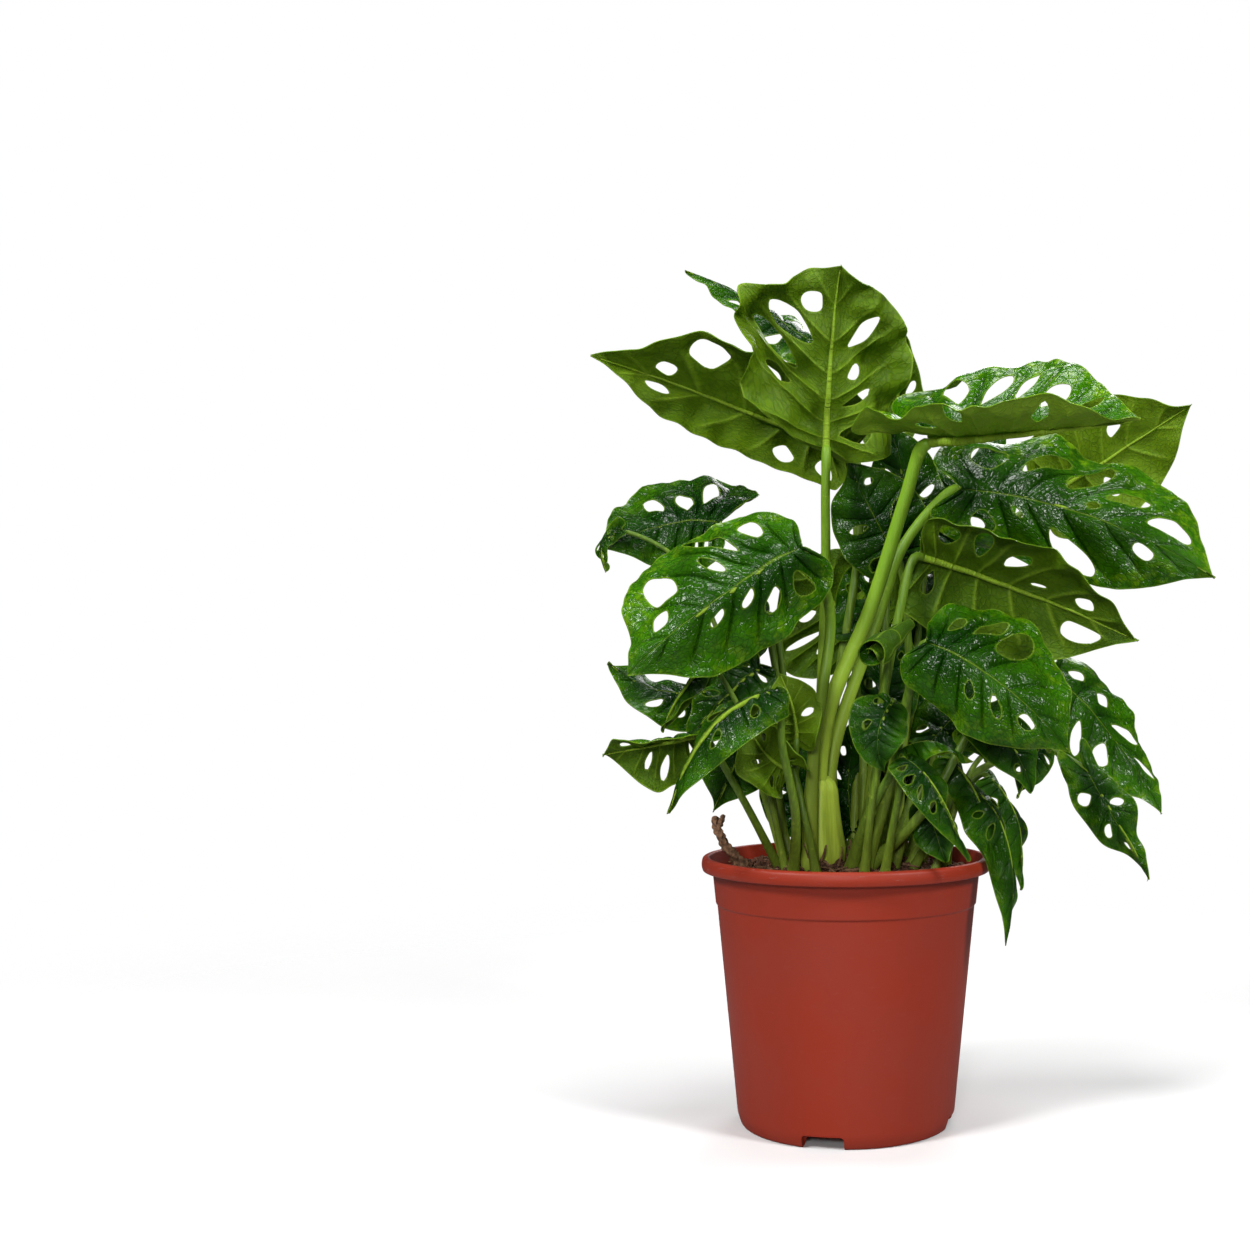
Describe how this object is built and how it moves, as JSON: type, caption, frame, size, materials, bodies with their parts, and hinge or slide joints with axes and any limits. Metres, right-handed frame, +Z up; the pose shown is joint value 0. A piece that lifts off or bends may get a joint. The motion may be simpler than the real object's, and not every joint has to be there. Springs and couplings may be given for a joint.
{
  "type": "potted monstera plant",
  "caption": "Young split-leaved climbing foliage plant with bent, windowed leaves on long stalks, in a round tapered plastic nursery pot filled with peat.",
  "frame": {"origin": "middle of the pot's base, on the surface the pot stands on", "axes": "+Z up along the pot's axis; -Y towards the viewer's side, +X towards the side where the longest leaf points"},
  "size_m": [0.3802, 0.2471, 0.5194],
  "materials": {
    "pot": "satin terracotta-red moulded plastic",
    "soil": "rough crumbly peat",
    "leaf": "glossy green leaf, paler and duller underneath",
    "stalk": "smooth yellow-green leaf stalk",
    "dead_stem": "dry brown stem"
  },
  "bodies": {
    "root": {"pot": "pot", "soil": "soil", "leaf_rolled": "leaf", "dead_stem": "dead_stem", "leaf_top": "leaf", "stalk_top": "stalk", "leaf_top_left": "leaf", "stalk_top_left": "stalk", "leaf_top_back": "leaf", "stalk_top_back": "stalk", "leaf_top_right": "leaf", "stalk_top_right": "stalk", "leaf_right_back": "leaf", "stalk_right_back": "stalk", "leaf_right_big": "leaf", "stalk_right_big": "stalk", "leaf_right_low": "leaf", "stalk_right_low": "stalk", "leaf_front_right": "leaf", "stalk_front_right": "stalk", "leaf_right_droop": "leaf", "stalk_right_droop": "stalk", "leaf_far_right": "leaf", "stalk_far_right": "stalk", "leaf_left_big": "leaf", "stalk_left_big": "stalk", "leaf_left_back": "leaf", "stalk_left_back": "stalk", "leaf_left_curly": "leaf", "stalk_left_curly": "stalk", "leaf_left_front": "leaf", "stalk_left_front": "stalk", "leaf_left_low": "leaf", "stalk_left_low": "stalk", "leaf_left_inner": "leaf", "stalk_left_inner": "stalk", "leaf_small_pale": "leaf", "stalk_small_pale": "stalk", "leaf_small_cup": "leaf", "stalk_small_cup": "stalk", "leaf_middle_back": "leaf", "stalk_middle_back": "stalk", "leaf_middle_dark": "leaf", "stalk_middle_dark": "stalk", "leaf_middle_right": "leaf", "stalk_middle_right": "stalk", "leaf_low_middle": "leaf", "stalk_low_middle": "stalk", "leaf_low_narrow": "leaf", "stalk_low_narrow": "stalk", "leaf_low_dark": "leaf", "stalk_low_dark": "stalk", "leaf_over_rim": "leaf", "stalk_over_rim": "stalk", "leaf_behind_rim": "leaf", "stalk_behind_rim": "stalk", "leaf_low_twist": "leaf", "stalk_low_twist": "stalk", "leaf_low_cup": "leaf", "stalk_low_cup": "stalk"}
  },
  "joints": []
}
